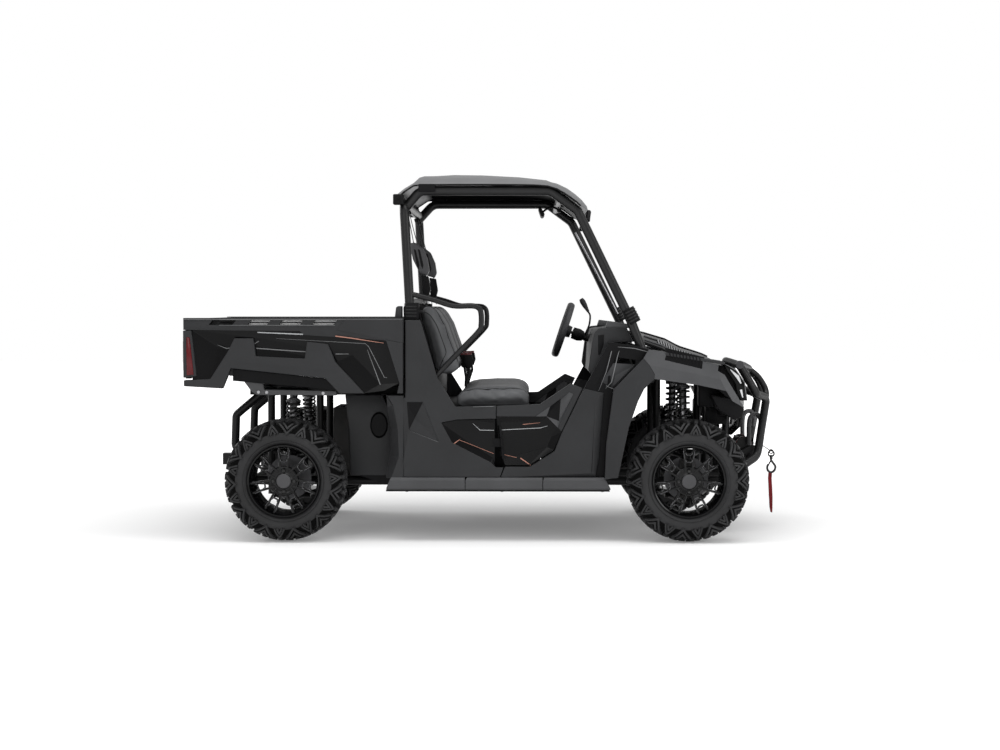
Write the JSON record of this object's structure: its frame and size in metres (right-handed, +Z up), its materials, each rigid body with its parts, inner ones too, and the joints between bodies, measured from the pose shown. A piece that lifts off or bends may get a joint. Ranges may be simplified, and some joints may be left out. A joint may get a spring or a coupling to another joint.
{
  "type": "side by side utility vehicle",
  "caption": "Three-across side by side utility vehicle with a roll cage, hard roof, bench seat, tipping cargo bed, steered front wheels and a winch bumper.",
  "frame": {"origin": "on the ground, below the middle of the vehicle's length and width", "axes": "+X forward, +Y to the vehicle's left, +Z up"},
  "size_m": [3.2261, 1.574, 1.9623],
  "materials": {
    "frame": "satin",
    "engine": "matte",
    "cage": "satin",
    "spring": "gloss",
    "knuckle": "matte",
    "tyre": "matte",
    "rim": "gloss",
    "matte_panel": "matte",
    "gloss_panel": "gloss",
    "headlamp": "gloss",
    "tail_lamp": "gloss",
    "upholstery": "matte",
    "webbing": "matte",
    "wheel_grip": "matte",
    "winch_metal": "satin"
  },
  "bodies": {
    "chassis": {"frame_lower": "frame", "axle_posts": "frame", "frame_upper": "frame", "frame_front": "frame", "front_arms": "frame", "rear_arms": "frame", "rear_drive": "frame", "front_drive": "frame", "steering_column": "frame", "engine_block": "engine", "roll_cage": "cage", "hip_bars": "cage", "front_bumper": "cage", "front_shocks": "spring", "rear_shocks": "spring", "rockers": "matte_panel", "rear_quarters": "matte_panel", "front_side_panels": "matte_panel", "front_fenders": "matte_panel", "roof": "matte_panel", "floor": "matte_panel", "dash": "matte_panel", "seat_box": "matte_panel", "mud_guards": "matte_panel", "cabin_mirror": "matte_panel", "side_insets": "gloss_panel", "front_fascia": "gloss_panel", "headlights": "headlamp", "seat_base": "upholstery", "seat_backs": "upholstery", "seat_belts": "webbing", "cab_controls": "wheel_grip", "winch": "winch_metal", "winch_line": "winch_metal", "winch_hook": "winch_metal"},
    "knuckle_left": {"knuckle_left": "knuckle"},
    "knuckle_right": {"knuckle_right": "knuckle"},
    "front_left_wheel": {"front_tyre_left": "tyre", "front_rim_left": "rim"},
    "front_right_wheel": {"front_tyre_right": "tyre", "front_rim_right": "rim"},
    "rear_left_wheel": {"rear_tyre_left": "tyre", "rear_rim_left": "rim"},
    "rear_right_wheel": {"rear_tyre_right": "tyre", "rear_rim_right": "rim"},
    "steering_wheel": {"steering_wheel": "wheel_grip"},
    "steering_rack": {"steering_rack": "frame"},
    "door_left": {"door_left": "gloss_panel"},
    "door_right": {"door_right": "gloss_panel"},
    "hood": {"hood": "gloss_panel"},
    "bed": {"bed_box": "matte_panel", "bed_flares": "matte_panel", "bed_sides": "gloss_panel", "tail_lights": "tail_lamp"},
    "tailgate": {"tailgate": "matte_panel"}
  },
  "joints": [
    {"name": "steer_right", "type": "hinge", "parent": "chassis", "child": "knuckle_right", "pos_m": [1.074, -0.6, 0.325], "axis": [0, 0, 1], "range_deg": [-28, 28]},
    {"name": "steer_left", "type": "hinge", "parent": "chassis", "child": "knuckle_left", "pos_m": [1.074, 0.6, 0.325], "axis": [0, 0, 1], "range_deg": [-28.5, 28.5]},
    {"name": "steering_wheel_turn", "type": "hinge", "parent": "chassis", "child": "steering_wheel", "pos_m": [0.44, 0.38, 1.107], "axis": [0.9489, 0, -0.3156], "range_deg": [-425, 425]},
    {"name": "rack_slide", "type": "slide", "parent": "chassis", "child": "steering_rack", "axis": [0, 1, 0], "range_m": [-0.035, 0.035]},
    {"name": "front_left_roll", "type": "hinge", "parent": "knuckle_left", "child": "front_left_wheel", "pos_m": [1.074, 0.6725, 0.325], "axis": [0, 1, 0], "continuous": true},
    {"name": "front_right_roll", "type": "hinge", "parent": "knuckle_right", "child": "front_right_wheel", "pos_m": [1.074, -0.6725, 0.325], "axis": [0, 1, 0], "continuous": true},
    {"name": "rear_left_roll", "type": "hinge", "parent": "chassis", "child": "rear_left_wheel", "pos_m": [-1.06, 0.6475, 0.325], "axis": [0, 1, 0], "continuous": true},
    {"name": "rear_right_roll", "type": "hinge", "parent": "chassis", "child": "rear_right_wheel", "pos_m": [-1.06, -0.6475, 0.325], "axis": [0, 1, 0], "continuous": true},
    {"name": "door_left_swing", "type": "hinge", "parent": "chassis", "child": "door_left", "pos_m": [0.08876, 0.718, 0.52612], "axis": [-0.0937, 0, 0.9956], "range_deg": [0, 70]},
    {"name": "door_right_swing", "type": "hinge", "parent": "chassis", "child": "door_right", "pos_m": [0.08876, -0.718, 0.52612], "axis": [0.0937, 0, -0.9956], "range_deg": [0, 70]},
    {"name": "hood_lift", "type": "hinge", "parent": "chassis", "child": "hood", "pos_m": [0.794, 0, 1.08], "axis": [0, -1, 0], "range_deg": [0, 55]},
    {"name": "bed_tip", "type": "hinge", "parent": "chassis", "child": "bed", "pos_m": [-1.262, 0, 0.776], "axis": [0, -1, 0], "range_deg": [0, 42]},
    {"name": "tailgate_drop", "type": "hinge", "parent": "bed", "child": "tailgate", "pos_m": [-1.575, 0, 0.876], "axis": [0, -1, 0], "range_deg": [0, 90]}
  ],
  "couplings": [
    {"joint": "steer_left", "follows": "steer_right", "ratio": 1},
    {"joint": "steering_wheel_turn", "follows": "steer_right", "ratio": -15},
    {"joint": "rack_slide", "follows": "steer_right", "m_per_rad": -0.06784}
  ]
}
